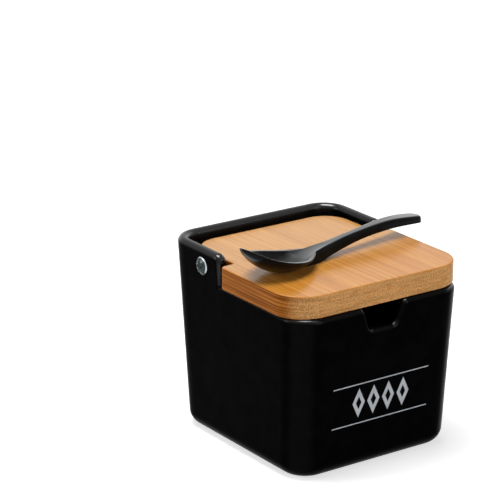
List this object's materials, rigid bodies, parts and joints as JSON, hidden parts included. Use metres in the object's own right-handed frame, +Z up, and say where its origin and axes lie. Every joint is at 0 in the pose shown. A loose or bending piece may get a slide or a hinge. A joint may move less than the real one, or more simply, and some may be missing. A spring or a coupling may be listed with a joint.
{
  "type": "salt box",
  "caption": "Square tapered ceramic salt box with a front notch, a thick wooden lid hinged between raised ears, and a small spoon.",
  "frame": {"origin": "centre of the flat base, on the surface that the box stands on", "axes": "+Z up, -Y towards the notched front, +X to the right seen from the front, which is also the longest way across with the spoon laid on the lid"},
  "size_m": [0.129, 0.1185, 0.1185],
  "materials": {
    "glazed_tub": "satin black glaze",
    "lid_wood": "oiled bamboo, long grain on top",
    "bush": "black nylon",
    "screw": "bright zinc plate",
    "glazed_spoon": "gloss black glaze"
  },
  "bodies": {
    "tub": {"ceramic_tub": "glazed_tub", "bush_left": "bush", "bush_right": "bush"},
    "lid": {"lid_board": "lid_wood", "screw_left": "screw", "screw_right": "screw"},
    "loose_spoon": {"spoon": "glazed_spoon"}
  },
  "joints": [
    {"name": "lid_hinge", "type": "hinge", "parent": "tub", "child": "lid", "pos_m": [0, 0.0265, 0.095], "axis": [-1, 0, 0], "range_deg": [0, 125]},
    {"name": "spoon_lift_off", "type": "slide", "parent": "lid", "child": "loose_spoon", "axis": [0, -0.8, 0.6], "range_m": [0, 0.08]}
  ]
}
